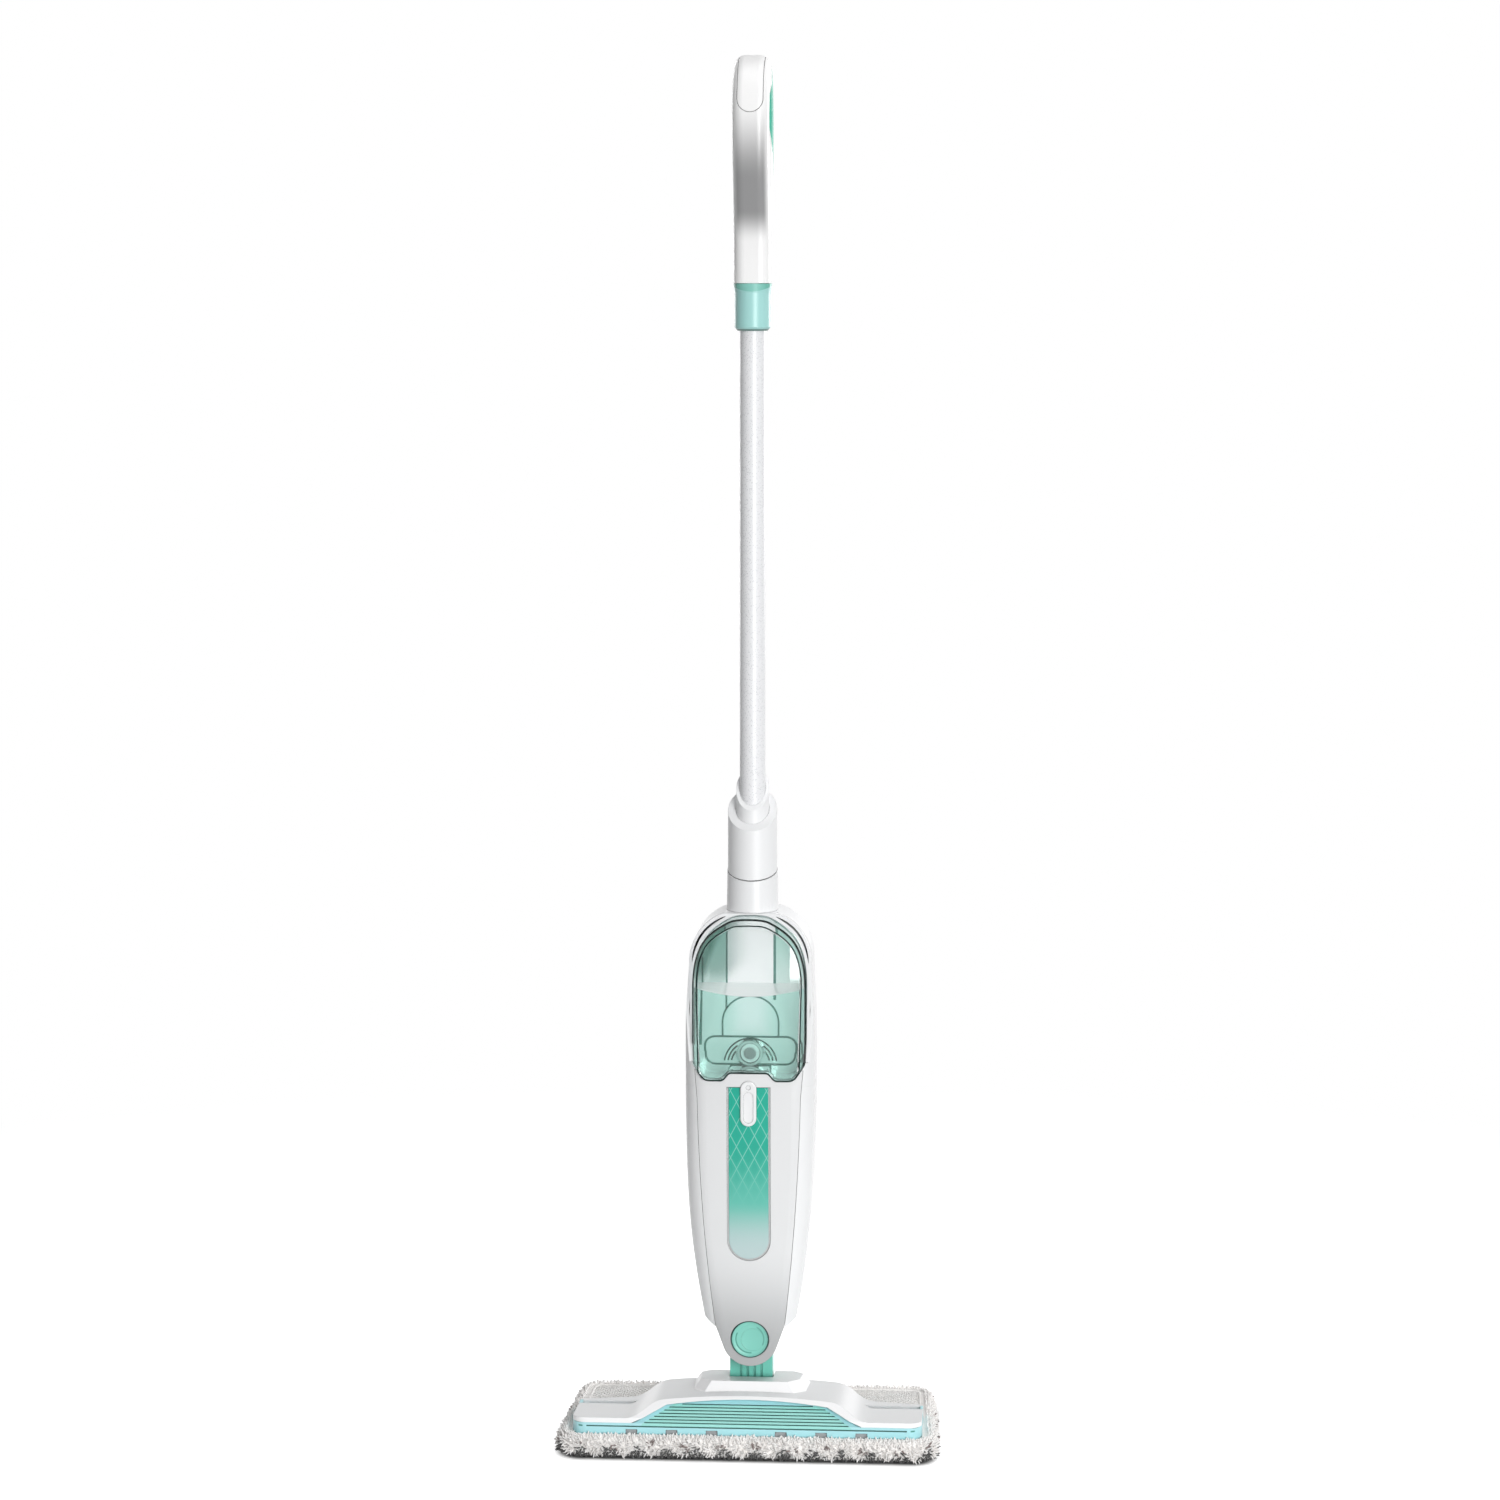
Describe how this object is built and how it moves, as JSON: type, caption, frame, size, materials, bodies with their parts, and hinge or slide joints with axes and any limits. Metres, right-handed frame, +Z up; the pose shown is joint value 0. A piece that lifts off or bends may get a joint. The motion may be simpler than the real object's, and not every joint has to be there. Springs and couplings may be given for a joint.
{
  "type": "steam mop",
  "caption": "Upright steam mop: loop handle on a pump tube, clear front tank, boiler body, swivelling flat head and a soft microfibre pad.",
  "frame": {"origin": "on the floor under the centre of the pad", "axes": "+Z up, -Y to the front (tank and button side), +X to the right as seen from the front"},
  "size_m": [0.3298, 0.176, 1.19],
  "materials": {
    "pad_pile": "chenille pile",
    "hook_tape": "woven hook tape",
    "white_plastic": "gloss moulding",
    "aqua_plastic": "gloss moulding",
    "teal_plastic": "gloss moulding",
    "teal_grip": "soft satin",
    "clear_teal": "clear moulding",
    "label_film": "printed film",
    "grey_plastic": "fine matte",
    "dark_plastic": "fine matte",
    "painted_tube": "fine fleck paint",
    "steel": "plain",
    "spring_steel": "drawn wire",
    "cast_aluminium": "as cast",
    "silicone": "matte",
    "seal_rubber": "matte"
  },
  "bodies": {
    "mop_head": {"pad": "pad_pile", "head_base": "aqua_plastic", "head_cover": "white_plastic", "hook_strips": "hook_tape", "head_screws": "steel", "skirt_vents": "grey_plastic", "hinge_posts": "grey_plastic", "pitch_pin": "steel", "steam_manifold": "grey_plastic", "head_steam_hose": "silicone"},
    "swivel": {"swivel_neck": "teal_plastic"},
    "main_body": {"roll_pin": "steel", "front_shell": "white_plastic", "rear_shell": "white_plastic", "pump_housing": "white_plastic", "tank_surround": "white_plastic", "body_screws": "steel", "front_strip": "label_film", "latch_spring": "spring_steel", "button_spring": "spring_steel", "neck_socket": "white_plastic", "neck_sleeve": "white_plastic", "neck_bush": "white_plastic", "pump_base": "grey_plastic", "pump_bellows": "seal_rubber", "inlet_valve": "grey_plastic", "outlet_valve": "grey_plastic", "tank_spigot": "grey_plastic", "spigot_seal": "seal_rubber", "inlet_hose": "silicone", "feed_hose": "silicone", "boiler": "cast_aluminium", "heater_element": "steel", "boiler_bracket": "steel", "thermostat": "dark_plastic", "thermal_fuse": "grey_plastic", "steam_hose": "silicone", "terminal_block": "dark_plastic", "cord_gland": "dark_plastic", "lower_cord_hook": "white_plastic"},
    "latch": {"tank_latch": "white_plastic"},
    "button": {"release_button": "teal_plastic"},
    "tank": {"tank_shell": "clear_teal", "tank_back": "clear_teal"},
    "cap": {"tank_cap": "teal_plastic", "cap_valve": "silicone"},
    "handle": {"handle_tube": "painted_tube", "pump_rod": "grey_plastic", "handle_collar": "teal_plastic", "handle_main": "white_plastic", "handle_grip": "teal_grip", "handle_inlay": "white_plastic", "hook_pin": "steel", "handle_screw": "steel"},
    "hook": {"upper_cord_hook": "white_plastic"}
  },
  "joints": [
    {"name": "head_pitch", "type": "hinge", "parent": "mop_head", "child": "swivel", "pos_m": [0, 0, 0.038], "axis": [-1, 0, 0], "range_deg": [0, 65]},
    {"name": "body_roll", "type": "hinge", "parent": "swivel", "child": "main_body", "pos_m": [0, 0, 0.091], "axis": [0, 1, 0], "range_deg": [-40, 40]},
    {"name": "latch_press", "type": "slide", "parent": "main_body", "child": "latch", "axis": [0, 0, -1], "range_m": [0, 0.006], "stiffness_N_per_m": 400, "springref_m": -0.004, "deforming": ["latch_spring"]},
    {"name": "button_press", "type": "slide", "parent": "main_body", "child": "button", "axis": [0, 1, 0], "range_m": [0, 0.004], "stiffness_N_per_m": 800, "springref_m": -0.004, "deforming": ["button_spring"]},
    {"name": "tank_pull", "type": "slide", "parent": "main_body", "child": "tank", "axis": [0, -1, 0], "range_m": [0, 0.08]},
    {"name": "cap_turn", "type": "hinge", "parent": "tank", "child": "cap", "pos_m": [0, -0.0135, 0.342], "axis": [0, 1, 0], "range_deg": [0, 90]},
    {"name": "handle_pump", "type": "slide", "parent": "main_body", "child": "handle", "axis": [0, 0, -1], "range_m": [0, 0.012], "stiffness_N_per_m": 900, "springref_m": -0.02, "deforming": ["pump_bellows"]},
    {"name": "hook_turn", "type": "hinge", "parent": "handle", "child": "hook", "pos_m": [0, 0.029, 1.014], "axis": [0, 1, 0], "range_deg": [0, 180]}
  ]
}
